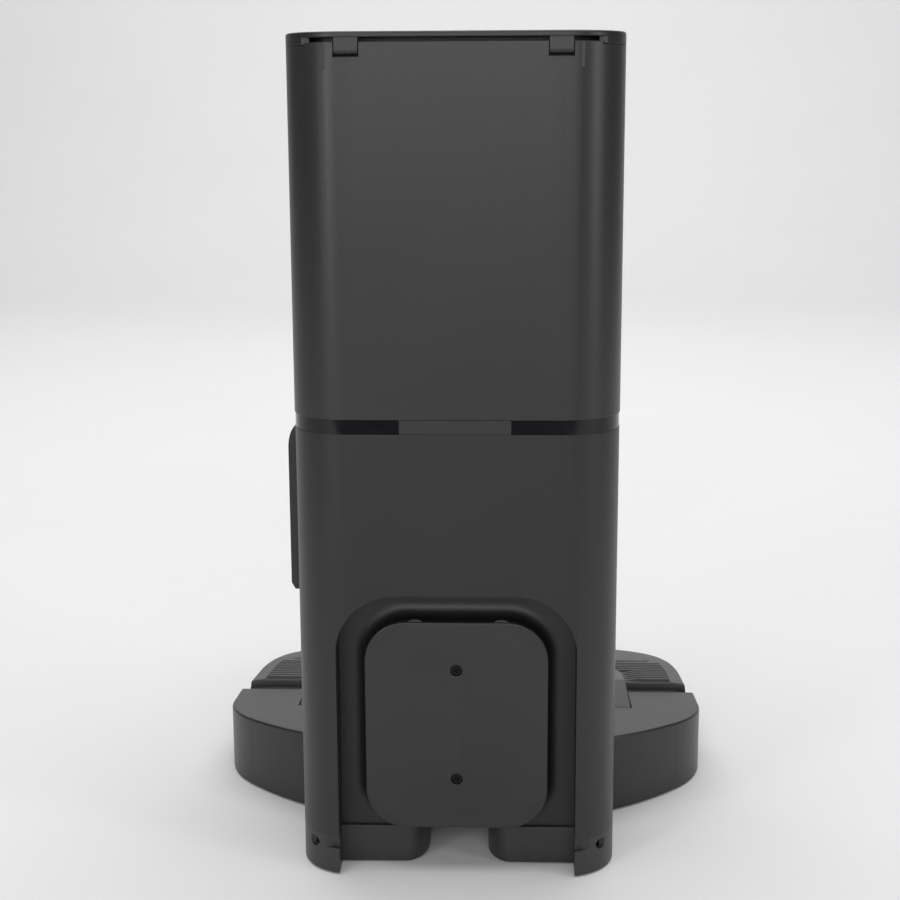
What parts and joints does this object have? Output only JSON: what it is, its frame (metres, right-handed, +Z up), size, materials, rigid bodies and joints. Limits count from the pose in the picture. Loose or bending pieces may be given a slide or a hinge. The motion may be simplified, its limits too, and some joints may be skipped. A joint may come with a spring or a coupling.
{
  "type": "robot vacuum auto-empty dock",
  "caption": "Tall self-emptying dust tower with hinged lid, rear cord-winding recess and screwed duct cover, on a wide round-backed base with a ridged ramp.",
  "frame": {"origin": "centre of the bounding box, on the floor that the rubber feet rest on", "axes": "+Z up; +Y towards the rear, where the cord and the duct cover are; -Y towards the front, where the robot drives in; +X is the object's right seen from the front"},
  "size_m": [0.285, 0.3684, 0.43],
  "materials": {
    "body_plastic": "fine spark texture",
    "base_plastic": "fine spark texture, lighter top",
    "gloss_band": "polished",
    "inner_plastic": "plain moulded",
    "clear_lens": "frosted light guide",
    "window": "infrared-pass tint",
    "rubber": "soft",
    "steel": "zinc plated",
    "contact": "plated contact",
    "motor_metal": "drawn can",
    "board": "solder mask",
    "foam": "open-cell foam",
    "filter_paper": "pleated paper",
    "card": "pressed card",
    "bag_cloth": "non-woven"
  },
  "bodies": {
    "dock": {"base_shell": "base_plastic", "base_bottom_plate": "inner_plastic", "rubber_feet": "rubber", "bottom_screws": "steel", "ramp_plate": "base_plastic", "suction_deck": "base_plastic", "suction_port_seal": "rubber", "floor_duct": "inner_plastic", "power_inlet": "inner_plastic", "power_board": "board", "lower_housing": "body_plastic", "alcove_liner": "body_plastic", "ir_window": "window", "contact_holder": "inner_plastic", "contact_spring_left": "steel", "contact_spring_right": "steel", "duct_cover": "body_plastic", "duct_cover_seal": "rubber", "duct_cover_screws": "steel", "air_duct": "inner_plastic", "motor_mount": "rubber", "fan_motor": "motor_metal", "fan_shroud": "inner_plastic", "control_board": "board", "exhaust_filter": "filter_paper", "accent_band": "gloss_band", "band_insert": "body_plastic", "status_light": "clear_lens", "upper_housing": "body_plastic", "hinge_pins": "steel", "bay_floor": "inner_plastic", "pre_motor_filter": "foam", "bag_rail": "inner_plastic", "bag_port_gasket": "rubber", "lid_switch": "inner_plastic", "housing_screws": "steel"},
    "lid": {"lid": "body_plastic", "lid_liner": "inner_plastic", "lid_seal": "rubber"},
    "bag": {"dust_bag": "bag_cloth", "bag_collar": "card"},
    "fan_rotor": {"impeller": "inner_plastic", "motor_shaft": "steel"},
    "side_cover": {"exhaust_cover": "body_plastic"},
    "left_contact": {"contact_left": "contact"},
    "right_contact": {"contact_right": "contact"},
    "switch_plunger": {"lid_switch_button": "inner_plastic"}
  },
  "joints": [
    {"name": "lid_hinge", "type": "hinge", "parent": "dock", "child": "lid", "pos_m": [0, 0.18118, 0.4213], "axis": [-1, 0, 0], "range_deg": [0, 95]},
    {"name": "bag_pull", "type": "slide", "parent": "dock", "child": "bag", "axis": [0, 0, 1], "range_m": [0, 0.008]},
    {"name": "fan_spin", "type": "hinge", "parent": "dock", "child": "fan_rotor", "pos_m": [0, 0.06718, 0.21], "axis": [0, 0, 1], "continuous": true},
    {"name": "exhaust_cover_pull", "type": "slide", "parent": "dock", "child": "side_cover", "axis": [1, 0, 0], "range_m": [0, 0.02]},
    {"name": "contact_left_push", "type": "slide", "parent": "dock", "child": "left_contact", "axis": [0, 1, 0], "range_m": [0, 0.0022], "stiffness_N_per_m": 300, "springref_m": -0.001, "deforming": ["contact_spring_left"]},
    {"name": "contact_right_push", "type": "slide", "parent": "dock", "child": "right_contact", "axis": [0, 1, 0], "range_m": [0, 0.0022], "stiffness_N_per_m": 300, "springref_m": -0.001, "deforming": ["contact_spring_right"]},
    {"name": "lid_switch_press", "type": "slide", "parent": "dock", "child": "switch_plunger", "axis": [0, 0, -1], "range_m": [0, 0.0012], "stiffness_N_per_m": 200, "springref_m": -0.001}
  ]
}
